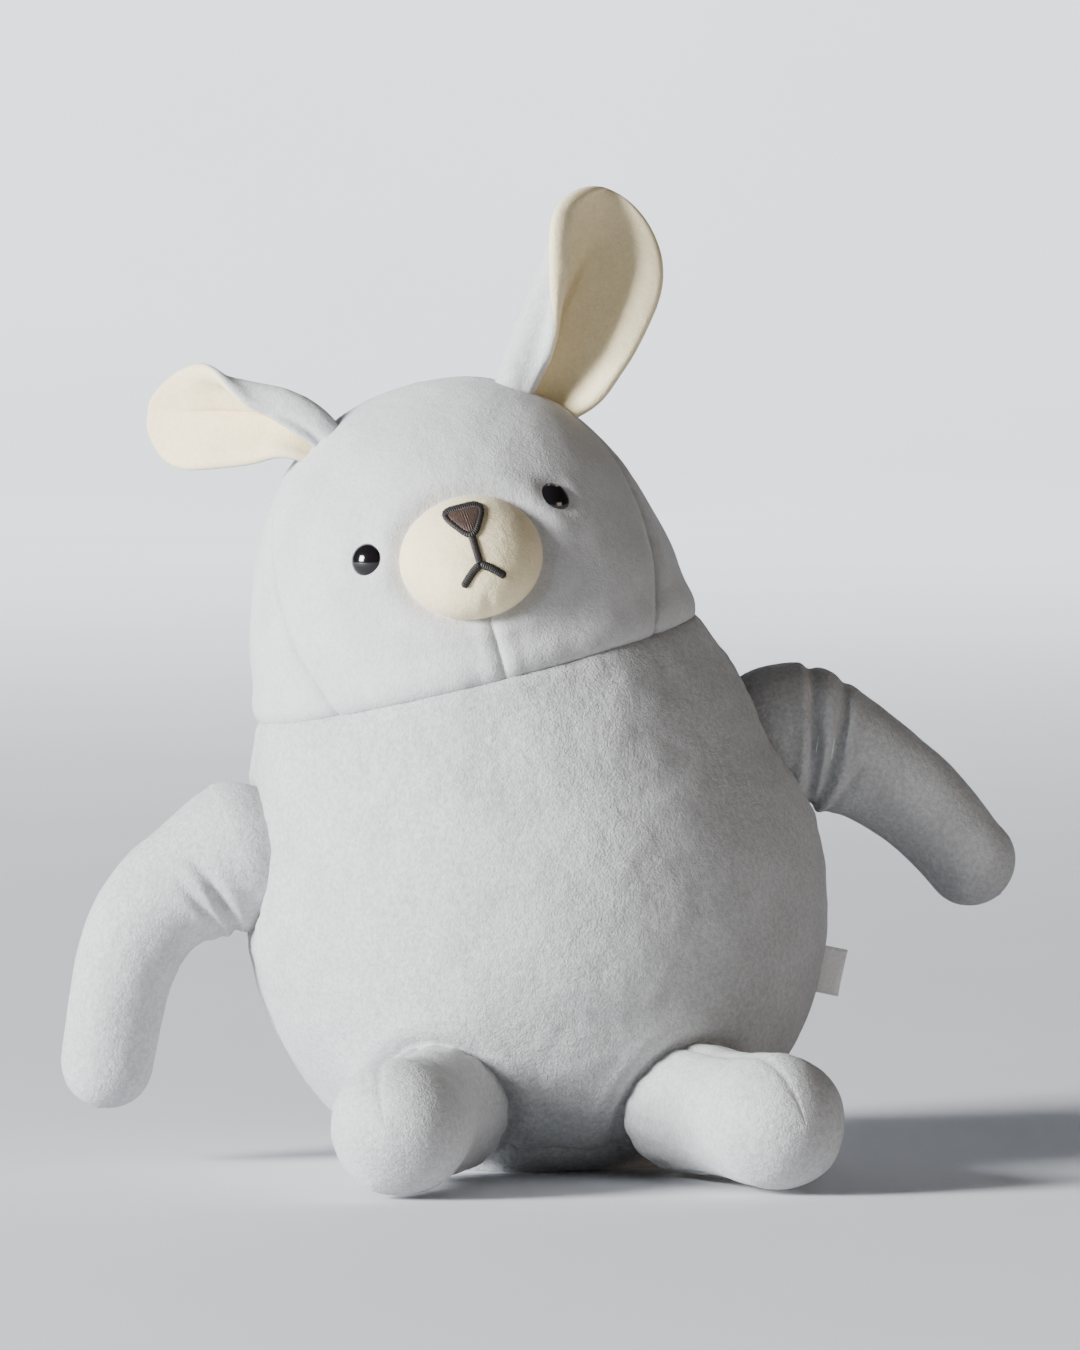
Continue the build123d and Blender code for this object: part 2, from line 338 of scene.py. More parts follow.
def plush(name, colour, contrast, pile, sheen, speckle):
    """Short dense pile: soft broad patches, fine tufts of fibre, and a bright nap at the edges."""
    material, tree, shader = nodes_of(name)
    dark = [c * (1 - contrast) for c in colour]
    light = [min(c * (1 + contrast), 1) for c in colour]
    patches = mix_colour(tree, object_noise(tree, 55, 4.0), dark, light)
    shade, fleck = 1 - speckle, 1 - 0.6 * speckle
    tufts = mix_colour(tree, object_noise(tree, 800, 3.0), [shade] * 3, (1, 1, 1), 0.36, 0.64)
    fibres = mix_colour(tree, object_noise(tree, 1900, 2.0), [fleck] * 3, (1, 1, 1))
    colour_out = multiply(tree, multiply(tree, patches, tufts), fibres)
    tree.links.new(colour_out, shader.inputs["Base Color"])
    set_inputs(shader, {"Roughness": 0.95, "Specular IOR Level": 0.15})
    set_inputs(shader, {"Sheen Weight": sheen, "Sheen Roughness": 0.55})
    set_inputs(shader, {"Sheen Tint": (0.95, 0.97, 1.0, 1)})
    coarse = add_bump(tree, shader, object_noise(tree, 420, 3.0), 0.35, pile)
    add_bump(tree, shader, object_noise(tree, 1700, 3.0), 0.6, pile * 0.5, coarse)
    return material


def thread_material(name, colour, sheen=0.3):
    """Embroidery floss: fine strands with a soft shine."""
    material, tree, shader = nodes_of(name)
    dark = [c * 0.55 for c in colour]
    strands = mix_colour(tree, object_noise(tree, 1500, 2.0, (1, 1, 0.25)), dark, colour)
    tree.links.new(strands, shader.inputs["Base Color"])
    set_inputs(shader, {"Roughness": 0.6, "Sheen Weight": sheen})
    add_bump(tree, shader, object_noise(tree, 2600, 2.0, (1, 1, 0.3)), 0.5, 0.0002)
    return material


def plain(name, colour, roughness, scale=300.0, depth=0.0001, coat=0.0):
    """Moulded plastic or smooth cloth with a faint grain."""
    material, tree, shader = nodes_of(name)
    dark = [c * 0.88 for c in colour]
    grain = mix_colour(tree, object_noise(tree, scale, 3.0), dark, colour)
    tree.links.new(grain, shader.inputs["Base Color"])
    set_inputs(shader, {"Roughness": roughness, "Coat Weight": coat, "Coat Roughness": 0.03})
    add_bump(tree, shader, object_noise(tree, scale * 2, 2.0), 0.2, depth)
    return material


GREY = plush("grey_plush", (0.56, 0.565, 0.57), 0.05, 0.0007, 0.18, 0.10)
BODY_GREY = plush("grey_plush_body", (0.54, 0.545, 0.55), 0.06, 0.0010, 0.18, 0.20)
CREAM = plush("cream_plush", (0.87, 0.755, 0.49), 0.04, 0.0006, 0.15, 0.08)
BROWN = thread_material("brown_thread", (0.055, 0.030, 0.020), 0.05)
BLACK = thread_material("black_thread", (0.012, 0.009, 0.008), 0.0)
BEAD = plain("black_bead", (0.006, 0.005, 0.006), 0.12, 200, 0.00002, 0.35)
FIBRE = plain("polyester_filling", (0.92, 0.92, 0.91), 0.95, 400, 0.0008)
SATIN = plain("satin_label", (0.92, 0.92, 0.93), 0.35, 1500, 0.00015)
COTTON = plain("bag_cloth", (0.86, 0.85, 0.81), 0.9, 1500, 0.0003)
PELLETS = plain("plastic_pellets", (0.88, 0.88, 0.85), 0.5, 350, 0.0015)
WASHER = plain("white_plastic", (0.86, 0.86, 0.84), 0.4)


# ---- body and head surface ----
def profile(samples, inset=0.0):
    """Radius and height from the crown to the bottom, evenly spaced: dome, flank and ball."""
    dome, ball = DOME_R - inset, BALL_R - inset
    arc = np.linspace(pi / 2, DOME_LOW, 120)
    top = np.stack([dome * np.cos(arc), DOME_Z + dome * np.sin(arc)], axis=1)
    arc = np.linspace(BALL_HIGH, -pi / 2, 240)
    low = np.stack([ball * np.cos(arc), -NECK_ABOVE_BALL + ball * np.sin(arc)], axis=1)
    sides = [(r - inset, z) for r, z in FLANK]
    middle = catmull(
        [top[-1], *sides, low[0]], 160,
        (sin(DOME_LOW), -cos(DOME_LOW)), (sin(BALL_HIGH), -cos(BALL_HIGH)),
    )
    return resample(np.concatenate([top, middle[1:-1], low]), samples)


RADII, HEIGHTS = profile(800)[::-1].T


def radius_at(z):
    """Radius of the body or head at a height above the neck seam."""
    return np.interp(z, HEIGHTS, RADII)


def on_face(t, z):
    """Depth (y) of the front of the head at t to the left and z up."""
    return -np.sqrt(np.maximum(radius_at(z) ** 2 - t**2, 0.0))


SEAM_START_Y = -FLANK[1][0] * cos(FACE_SEAM_ANGLE)
FACE_NORMAL = np.array([0.0, -EAR_SEAM_Z, -SEAM_START_Y])
FACE_NORMAL = FACE_NORMAL / np.linalg.norm(FACE_NORMAL)
FACE_POINT = np.array([0.0, SEAM_START_Y, 0.0])
SEAT_NORMAL = ROW_A[2, :3]
SEAT_POINT = from_row(np.array([0.0, 0.0, SEAT_SEAM_Z]))


def eye_centre(side):
    """Place of an eye on the head, and the direction that it looks in."""
    rise = asin((EYE_Z[side] - DOME_Z) / DOME_R)
    turn = SIDES[side] * EYE_ANGLE
    out = np.array([cos(rise) * sin(turn), -cos(rise) * cos(turn), sin(rise)])
    r = radius_at(EYE_Z[side])
    return np.array([r * sin(turn), -r * cos(turn), EYE_Z[side]]), out


def leg_line(side):
    """Hip pivot and leg direction in the rabbit's frame."""
    across = SIDES[side]
    hip = from_row(np.array([across * HIP[0], HIP[1], HIP_Z]))
    along = np.array([across * sin(LEG_SPLAY), -cos(LEG_SPLAY), 0.0]) @ ROW_A[:3, :3]
    return hip, along


def muzzle_ring(t, z):
    """0 at the muzzle's middle and 1 at its edge."""
    return np.sqrt((t / MUZZLE_HALF[0]) ** 2 + ((z - MUZZLE_Z) / MUZZLE_HALF[1]) ** 2)


def relief(p, normal):
    """How far the cloth stands out from the plain bell at each point, in mm."""
    x, y, z = p.T
    head, body = smooth_step(z, -0.4, 0.4), smooth_step(-z, -0.4, 0.4)
    out = 0.8 * noise(p, 38, 2) + 0.28 * noise(p, 13, 2, 5.0)
    out += body * 0.16 * noise(p, 5.5, 2, 9.0)

    # Neck seam: a crisp valley, the head's edge fuller than the body's, with small puckers.
    puckers = noise(p * [1, 1, 0.25], 5.0, 1, 3.0)
    out += 1.5 * crease(z, 1.3) + head * 0.9 * bump(z - 4.5, 4.0)
    out += 0.45 * puckers * np.exp(-np.abs(z) / 6.0)

    # Face seams, fading out towards the ears.
    away = (p - FACE_POINT) @ FACE_NORMAL
    away = away / np.sqrt(np.maximum(1 - (normal @ FACE_NORMAL) ** 2, 0.15))
    fade = head * (0.25 + 0.75 * (1 - smooth_step(z, 12, 60)))
    out += fade * (1.6 * crease(away, 1.3) + 0.35 * bump(np.abs(away) - 4, 3.0))

    # Side seams and centre back seam.
    out += body * (0.9 * crease(y, 1.3))
    back = smooth_step(y, 0, 6) * np.maximum(smooth_step(-away, 0, 5), body)
    out += back * 0.9 * crease(x, 1.3)

    # Seat seam.
    rise = (p - SEAT_POINT) @ SEAT_NORMAL
    out += 1.2 * crease(rise, 1.6)

    # Chin dart, from under the muzzle to the neck.
    chin = smooth_step(-y, 0, 10) * head * (1 - smooth_step(z, 17, 22))
    out += chin * (0.95 * crease(x, 1.1) + 0.35 * bump(np.abs(x) - 3, 2.0))

    # The cloth is drawn in round the muzzle and the eyes.
    front = smooth_step(-y, 0, 10)
    edge = (muzzle_ring(x, z) - 1) * MUZZLE_MEAN_R
    out += front * (-1.6 * bump(edge, 2.3) + 0.55 * bump(edge - 5.0, 3.0))
    for side in SIDES:
        centre, _ = eye_centre(side)
        d = np.linalg.norm(p - centre, axis=1)
        out += -0.8 * bump(d, 5.2) + 0.25 * bump(d - 7.5, 2.0)

    # Arms and legs are gathered into the body.
    for side, across in SIDES.items():
        root_z = ARM_ROUTES[side][0][1]
        facing = smooth_step(across * x, 20, 40)
        ring = np.sqrt(y**2 + (z - root_z) ** 2)
        angle = np.arctan2(z - root_z, y)
        d = ring - ARM_ROOT_R
        pucker = np.cos(GATHERS * angle + 3 * noise(p, 20, 1, 2.0)) * np.exp(-np.abs(d) / 4.0)
        out += facing * (-1.5 * bump(d, 2.2) + 0.5 * bump(d - 6.0, 3.0) + 0.25 * pucker)
        out -= facing * 5.0 * (1 - smooth_step(ring, 10, ARM_ROOT_R))

        hip, along = leg_line(side)
        offset = p - hip
        ahead = offset @ along
        d = np.linalg.norm(offset - np.outer(ahead, along), axis=1) - LEG_R
        near = smooth_step(ahead, -34, -22)
        pucker = noise(p, 4.5, 1, 8.0) * np.exp(-np.abs(d) / 5.0)
        out += near * (-1.6 * bump(d, 2.4) + 0.5 * bump(d - 6, 3.0) + 0.3 * pucker)
    return out


def bell_surface(rings, cols, inset=0.0):
    """Vertices and faces of the whole bell, in the rabbit's frame, crown and bottom closed."""
    line = profile(rings + 2, inset)[1:-1]
    turn = np.linspace(0, 2 * pi, cols, endpoint=False) + 0.3 * pi / cols
    r, z = np.repeat(line[:, 0], cols), np.repeat(line[:, 1], cols)
    a = np.tile(turn, rings)
    points = np.stack([r * np.cos(a), r * np.sin(a), z], axis=1)
    crown, bottom = DOME_Z + DOME_R - inset, -NECK_ABOVE_BALL - BALL_R + inset
    points = np.concatenate([points, [[0, 0, crown], [0, 0, bottom]]])
    return points, capped_tube(rings, cols)


def settle(row, floor=SEAT_GAP, soft=4.0):
    """Flattens what would reach below the surface it sits on, with a soft round edge."""
    low = row[:, 2] - floor
    rounded = floor + 0.5 * (low + np.sqrt(low**2 + soft**2)) - 0.25 * soft * np.exp(-np.abs(low) / soft)
    row = row.copy()
    row[:, 2] = np.maximum(rounded, floor)
    return row


def bell_mesh(rings, cols):
    """The bell as one mesh with an edge along every seam."""
    points, faces = bell_surface(rings, cols)
    mesh = bpy.data.meshes.new("bell")
    mesh.from_pydata([tuple(v) for v in points], [], faces)
    bm = bmesh.new()
    bm.from_mesh(mesh)
    spacing = 1.2

    def behind(c):
        """Whether the centre back seam runs past here."""
        ahead = (np.array(c) - FACE_POINT) @ FACE_NORMAL if c[2] > 0 else -c[1]
        return ahead < 0.5 and (np.array(c) - SEAT_POINT) @ SEAT_NORMAL > -1

    cuts = [
        (np.zeros(3), np.array([0.0, 0.0, 1.0]), lambda c: True),
        (FACE_POINT, FACE_NORMAL, lambda c: c[2] > 0),
        (np.zeros(3), np.array([0.0, 1.0, 0.0]), lambda c: c[2] < 0),
        (np.zeros(3), np.array([1.0, 0.0, 0.0]), behind),
        (SEAT_POINT, SEAT_NORMAL, lambda c: c[2] < -60 and hypot(c[0], c[1]) > 8),
    ]
    for origin, normal, wanted in cuts:
        for v in bm.verts:
            gap = float((np.array(v.co) - origin) @ normal)
            if abs(gap) < 0.4 * spacing and wanted(v.co):
                v.co -= Vector(normal * gap)
        faces_near = [f for f in bm.faces if wanted(f.calc_center_median())]
        parts = faces_near + list({e for f in faces_near for e in f.edges})
        parts += list({v for f in faces_near for v in f.verts})
        bmesh.ops.bisect_plane(bm, geom=parts, dist=1e-4, plane_co=origin, plane_no=normal)
    bm.to_mesh(mesh)
    bm.free()
    return mesh


def panel_of(c):
    """The sewn panel that a face with centre c belongs to."""
    if (c - SEAT_POINT) @ SEAT_NORMAL < 0:
        return "base_panel"
    side = "left" if c[0] > 0 else "right"
    if c[2] > 0:
        if (c - FACE_POINT) @ FACE_NORMAL > 0:
            return "face_panel"
        return f"head_back_{side}"
    if c[1] < 0:
        return "body_front"
    return f"body_back_{side}"


def bell_normal(points):
    """Outward direction of the plain bell at points on it."""
    r = np.hypot(points[:, 0], points[:, 1])
    slope = np.gradient(RADII, HEIGHTS)
    lean = np.interp(points[:, 2], HEIGHTS, np.clip(slope, -60, 60))
    unit = points[:, :2] / np.maximum(r, 1e-6)[:, None]
    normal = np.stack([unit[:, 0], unit[:, 1], -lean], axis=1)
    return normal / np.linalg.norm(normal, axis=1)[:, None]


def make_panels():
    """The seven panels of body and head: one surface, cut along its seams, edges turned in."""
    mesh = bell_mesh(236, 408)
    points = np.array([v.co for v in mesh.vertices])
    normals = bell_normal(points)
    shaped = settle(to_row(points + normals * relief(points, normals)[:, None]))
    row_normals = normals @ ROW_A[:3, :3].T
    groups = {}
    for face in mesh.polygons:
        groups.setdefault(panel_of(np.array(face.center)), []).append(tuple(face.vertices))
    panels = {}
    for name, faces in groups.items():
        used = sorted({v for f in faces for v in f})
        index = {v: i for i, v in enumerate(used)}
        material = GREY if "head" in name or "face" in name else BODY_GREY
        obj = new_object(name, shaped[used] * MM, [[index[v] for v in f] for f in faces], material)
        turn_in_edges(obj, row_normals[used])
        apply_modifier(obj, "SOLIDIFY", thickness=PANEL_THICKNESS * MM, offset=-1.0, use_rim=True)
        panels[name] = obj
    return panels


def turn_in_edges(obj, normals):
    """Moves an open mesh's border inwards, as a seam allowance does."""
    bm = bmesh.new()
    bm.from_mesh(obj.data)
    bm.verts.ensure_lookup_table()
    border = [v.index for v in bm.verts if v.is_boundary]
    for i in border:
        bm.verts[i].co -= Vector(normals[i]) * TURN_IN * MM
        bm.verts[i].co.z = max(bm.verts[i].co.z, SEAT_GAP * MM)
    bm.to_mesh(obj.data)
    bm.free()


# ---- muzzle, nose, mouth and eyes ----
def muzzle_rise(t, z):
    """Height of the muzzle above the head, in mm, at t to the left and z above the neck."""
    dome = np.sqrt(np.maximum(1 - np.minimum(muzzle_ring(t, z), 1.0) ** 2.3, 0))
    notch = 0.9 * bump(t, 1.6) * (1 - smooth_step(z, MUZZLE_Z - 15, MUZZLE_Z - 7))
    return MUZZLE_RISE * dome - notch - 1.6 * (1 - dome)


def muzzle_depth(t, z):
    """Depth (y) of the muzzle's surface."""
    return on_face(t, z) - muzzle_rise(t, z)


def muzzle_point(t, z, lift=0.0):
    """Points on the muzzle's surface, raised by lift."""
    t, z = np.atleast_1d(np.asarray(t, float)), np.atleast_1d(np.asarray(z, float))
    step = 0.4
    dt = (muzzle_depth(t + step, z) - muzzle_depth(t - step, z)) / (2 * step)
    dz = (muzzle_depth(t, z + step) - muzzle_depth(t, z - step)) / (2 * step)
    normal = np.stack([dt, -np.ones_like(t), dz], axis=1)
    normal /= np.linalg.norm(normal, axis=1)[:, None]
    return np.stack([t, muzzle_depth(t, z), z], axis=1) + normal * np.reshape(lift, (-1, 1))


def make_muzzle():
    """The cream pad: a closed, stuffed oval, sunk into the face at its edge."""
    rings, cols = 44, 128
    rows = []
    turn = np.linspace(0, 2 * pi, cols, endpoint=False)
    for i in range(rings):
        ring = 1.02 * sin(pi / 2 * (i + 1) / rings)
        t = MUZZLE_HALF[0] * ring * np.cos(turn)
        z = MUZZLE_Z + MUZZLE_HALF[1] * ring * np.sin(turn)
        rows.append(muzzle_point(t, z))
    points = np.concatenate(rows)
    points[:, 1] -= 0.22 * noise(points, 11, 2, 4.0) + 0.07 * noise(points, 3.0, 1, 6.0)
    back = rows[-1].copy()
    back[:, 1] += 3.0
    back[:, 0] *= 0.94
    points = np.concatenate([points, back])
    front_pole = muzzle_point(0, MUZZLE_Z)
    back_pole = np.array([[0, on_face(0, MUZZLE_Z) + 4.0, MUZZLE_Z]])
    points = np.concatenate([points, front_pole, back_pole])
    faces = capped_tube(rings + 1, cols)
    obj = new_object("muzzle_cover", to_row(points) * MM, faces, CREAM)
    return outward(obj)


def make_filling_copy(source, name, shrink):
    """A plain stuffing core: the cover's shape, shrunk along its normals."""
    obj = source.copy()
    obj.data = source.data.copy()
    obj.name = obj.data.name = name
    bpy.context.scene.collection.objects.link(obj)
    normals = [v.normal.copy() for v in obj.data.vertices]
    for v, n in zip(obj.data.vertices, normals):
        v.co -= n * shrink * MM
    obj.data.materials.clear()
    obj.data.materials.append(FIBRE)
    return obj


def nose_outline(samples):
    """A rounded triangle standing on its point, centred on the origin, as x and z."""
    corners = [(-NOSE_HALF_W, NOSE_HALF_H), (NOSE_HALF_W, NOSE_HALF_H), (0.0, -NOSE_HALF_H)]
    line = []
    reach = 0.36  # share of each side that its corners' curves take
    for i in range(3):
        before, corner, after = (np.array(corners[(i + k - 1) % 3]) for k in range(3))
        a, b = corner + (before - corner) * reach, corner + (after - corner) * reach
        for s in np.linspace(0, 1, 16):
            line.append((1 - s) ** 2 * a + 2 * s * (1 - s) * corner + s**2 * b)
    line.append(line[0])
    return resample(np.array(line), samples + 1)[:-1]


def make_nose():
    """Satin-stitched nose: a low pad with upright stitches."""
    cols, rings, stitch_gap = 96, 12, 0.62
    outline = nose_outline(cols)
    rows = []
    for i in range(rings):
        ring = (i + 1) / rings
        x, z = outline[:, 0] * ring, outline[:, 1] * ring + NOSE_Z
        lift = 1.0 * np.sqrt(max(1 - ring**4, 0)) + 0.1
        stitches = 0.10 * np.cos(2 * pi * x / stitch_gap)
        rows.append(muzzle_point(x, z, lift + stitches))
    rows.append(muzzle_point(outline[:, 0], outline[:, 1] + NOSE_Z, -0.6))
    points = np.concatenate(rows + [muzzle_point(0, NOSE_Z, 1.1), muzzle_point(0, NOSE_Z, -0.8)])
    obj = new_object("nose_embroidery", to_row(points) * MM, capped_tube(rings + 1, cols), BROWN)
    return outward(obj)


def stitched_line(name, line, width, closed, lift=0.35):
    """A line of satin stitch over the muzzle: a low rounded cord with fine cross ridges."""
    line = resample(np.array(line), int(6 * len(line)) + 60)
    length = np.concatenate([[0], np.cumsum(np.linalg.norm(np.diff(line, axis=0), axis=1))])
    tangent = np.gradient(line, axis=0)
    tangent /= np.linalg.norm(tangent, axis=1)[:, None]
    across = np.stack([-tangent[:, 1], tangent[:, 0]], axis=1)
    cols, stitch_gap = 14, 0.55
    rows = []
    for i, (point, side) in enumerate(zip(line, across)):
        end = 1.0
        if not closed:
            near = min(length[i], length[-1] - length[i]) / (width * 0.5)
            end = sqrt(max(1 - (1 - min(near, 1.0)) ** 2, 0.02))
        ridge = 1 + 0.10 * cos(2 * pi * length[i] / stitch_gap)
        ring = []
        for a in np.linspace(0, 2 * pi, cols, endpoint=False):
            offset = 0.5 * width * end * ridge * cos(a)
            height = lift + 0.55 * end * ridge * sin(a)
            t, z = point + side * offset
            ring.append(muzzle_point(t, z, height)[0])
        rows.append(ring)
    points = np.array(rows).reshape(-1, 3)
    if closed:
        count = len(rows)
        faces = grid_faces(count, cols)
        faces += [
            ((count - 1) * cols + j, (count - 1) * cols + (j + 1) % cols, (j + 1) % cols, j)
            for j in range(cols)
        ]
    else:
        points = np.concatenate([points, [np.mean(rows[0], axis=0)], [np.mean(rows[-1], axis=0)]])
        faces = capped_tube(len(rows), cols)
    return outward(new_object(name, to_row(points) * MM, faces, BLACK))


def make_mouth():
    """The upright line under the nose and the two strokes of the mouth."""
    top = (0.0, NOSE_Z - NOSE_HALF_H * 0.55)
    fork = (0.0, MUZZLE_Z - MOUTH_FORK_DROP)
    pieces = [stitched_line("mouth_upright", [top, fork], 2.0, False)]
    for side, across in SIDES.items():
        bend = (across * MOUTH_BEND[0], MUZZLE_Z - MOUTH_BEND[1])
        end = (across * MOUTH_END[0], MUZZLE_Z - MOUTH_END[1])
        line = catmull([fork, bend, end], 12)
        pieces.append(stitched_line(f"mouth_{side}", line, 2.1, False))
    return join("mouth_embroidery", pieces)


def join(name, pieces):
    """One object from several."""
    bm = bmesh.new()
    for piece in pieces:
        bm.from_mesh(piece.data)
    mesh = bpy.data.meshes.new(name)
    bm.to_mesh(mesh)
    bm.free()
    mesh.materials.append(pieces[0].data.materials[0])
    for piece in pieces:
        bpy.data.objects.remove(piece)
    obj = bpy.data.objects.new(name, mesh)
    bpy.context.scene.collection.objects.link(obj)
    return obj


def revolved(name, line, centre, axis, material, cols=48):
    """A closed solid of revolution: line is radius and height from pole to pole, in mm."""
    axis = np.array(axis) / np.linalg.norm(axis)
    helper = np.array([0.0, 0.0, 1.0]) if abs(axis[2]) < 0.9 else np.array([1.0, 0.0, 0.0])
    u = np.cross(helper, axis)
    u /= np.linalg.norm(u)
    v = np.cross(axis, u)
    turn = np.linspace(0, 2 * pi, cols, endpoint=False)
    rows = [
        centre + axis * h + r * (np.outer(np.cos(turn), u) + np.outer(np.sin(turn), v))
        for r, h in line[1:-1]
    ]
    poles = [[centre + axis * line[0][1]], [centre + axis * line[-1][1]]]
    points = np.concatenate(rows + poles)
    return outward(new_object(name, to_row(points) * MM, capped_tube(len(rows), cols), material))


def make_eye(side):
    """A polished bead with a small foot, on its post."""
    centre, out = eye_centre(side)
    dome = [(EYE_R * cos(a), 0.3 + EYE_H * sin(a)) for a in np.linspace(pi / 2, 0, 16)]
    foot = [(EYE_R, 0.0), (EYE_R * 0.97, -0.5), (EYE_R * 0.8, -0.8), (POST_R, -0.9)]
    post = [(POST_R, -POST_LENGTH), (0, -POST_LENGTH)]
    return revolved(f"{side}_eye", dome + foot + post, centre - out * 0.9, out, BEAD)


# ---- limbs ----
def tube_rings(route, radii, caps=14):
    """Centres, directions and radii of a round-ended tube's rings, in mm."""
    route = np.asarray(route)
    direction = np.gradient(route, axis=0)
    direction /= np.linalg.norm(direction, axis=1)[:, None]
    rings = []
    for a in np.linspace(pi / 2, 0, caps, endpoint=False)[1:]:
        rings.append((route[0] - direction[0] * radii[0] * sin(a), direction[0], radii[0] * cos(a)))
    rings += list(zip(route, direction, radii))
    for a in np.linspace(0, pi / 2, caps + 1)[1:-1]:
        rings.append((route[-1] + direction[-1] * radii[-1] * sin(a), direction[-1], radii[-1] * cos(a)))
    return rings


def limb_mesh(name, route, radii, binormal, shape, material, cols=96):
    """A stuffed tube. shape gives how far its cloth stands out, from distance along, angle round
    and place. Angle 0 is the top of an arm and the underside of a leg, and a quarter turn is
    towards binormal."""
    rings = tube_rings(route, radii)
    rows, lengths, angles = [], [], []
    turn = np.linspace(0, 2 * pi, cols, endpoint=False)
    along, previous = 0.0, rings[0][0]
    for centre, direction, radius in rings:
        along += np.linalg.norm(centre - previous)
        previous = centre
        up = np.cross(binormal, direction)
        up /= np.linalg.norm(up)
        side = np.cross(direction, up)
        rows.append(centre + radius * (np.outer(np.cos(turn), up) + np.outer(np.sin(turn), side)))
        lengths += [along] * cols
        angles += list(turn)
    points = np.concatenate(rows)
    centres = np.repeat(np.array([r[0] for r in rings]), cols, axis=0)
    outwards = points - centres
    outwards /= np.maximum(np.linalg.norm(outwards, axis=1), 1e-6)[:, None]
    points = points + outwards * shape(np.array(lengths), np.array(angles), points)[:, None]
    first = rings[0][0] - rings[0][1] * 0.4
    last = rings[-1][0] + rings[-1][1] * 0.4
    points = np.concatenate([points, [first], [last]])
    obj = new_object(name, to_row(points) * MM, capped_tube(len(rings), cols), material)
    return outward(obj)


def turned(angle, centre):
    """Signed angle from centre, wrapped to plus or minus half a turn."""
    return (angle - centre + pi) % (2 * pi) - pi


def arm_route(side, samples):
    """Centre line of an arm in the rabbit's frame."""
    flat = catmull(ARM_ROUTES[side], samples)
    return np.stack([flat[:, 0], np.zeros(samples), flat[:, 1]], axis=1)


# Each fold: mm from the shoulder at the armpit and at the top of the arm, depth, and how far up
# the arm it reaches. The swell raises the top of the arm beside the body: height, place, width.
ARM_FOLDS = {
    "left": [(13.5, 3.5, 3.6, 1.0), (16.0, 13.0, 3.2, 1.0), (20.0, 26.0, 0.9, 0.6)],
    "right": [(9.0, 15.0, 2.6, 0.55), (13.5, 22.0, 1.3, 0.5)],
}
ARM_SWELL = {"left": (3.4, 9.0, 12.0), "right": (4.4, 0.0, 15.0)}


def make_arm(side):
    """One arm: sewn on at the shoulder, creased in the armpit, with a long seam underneath."""
    samples = 110
    route = arm_route(side, samples)
    along = np.linspace(0, 1, samples)
    radii = ARM_TIP_R + (ARM_ROOT_R - ARM_TIP_R) * (1 - along) ** ARM_TAPER
    swell, swell_at, swell_width = ARM_SWELL[side]

    def shape(length, angle, p):
        from_shoulder = length - ARM_ROOT_R
        under = 0.5 - 0.5 * np.cos(angle)
        out = 0.5 * noise(p, 26, 2, 1.0) + 0.15 * noise(p, 9, 2, 7.0)
        out += swell * bump(from_shoulder - swell_at, swell_width) * (1 - under) ** 1.5
        for foot, head, depth, reach in ARM_FOLDS[side]:
            line = head + (foot - head) * under
            away = from_shoulder - line + 0.5 * noise(p, 9, 1, foot)
            strength = smooth_step(under, 1 - reach - 0.25, 1 - 0.45 * reach)
            out -= strength * (1 - 0.55 * under**6) * depth * bump(away, 1.7)
            out += strength * 0.30 * depth * (bump(away - 3.6, 2.2) + bump(away + 3.6, 2.2))
        seam = turned(angle, pi * 0.93)
        total = length.max()
        out += 0.9 * crease(seam * ARM_SEAM_R, 1.2) * smooth_step(from_shoulder, 10, 20) * (
            1 - smooth_step(length, total - 9, total - 3)
        )
        return out

    binormal = np.array([0.0, -SIDES[side], 0.0])
    return limb_mesh(f"{side}_arm_cover", route, radii, binormal, shape, BODY_GREY, 120)


def make_leg(side):
    """One leg lying forwards, gathered a little at its hip end, flattened where it rests."""
    samples = 60
    hip, along = leg_line(side)
    route = np.array([hip + along * s for s in np.linspace(0, LEG_LENGTH, samples)])
    bow = np.sin(np.linspace(0, pi, samples))
    radii = LEG_R - 1.4 * bow

    def shape(length, angle, p):
        out = 0.5 * noise(p, 26, 2, 3.0) + 0.22 * noise(p, 8, 2, 2.0)
        root = np.exp(-np.maximum(length - 24, 0) / 6.0)
        out += 0.22 * np.cos(GATHERS * angle + 2 * noise(p, 14, 1, 4.0)) * root
        out += 0.9 * crease(turned(angle, pi) * LEG_SEAM_R, 1.2)
        return out

    obj = limb_mesh(f"{side}_leg_cover", route, radii, np.array([1.0, 0.0, 0.0]), shape, BODY_GREY)
    reshape(obj, lambda p: settle(p, LEG_GAP, 2.5))
    return obj


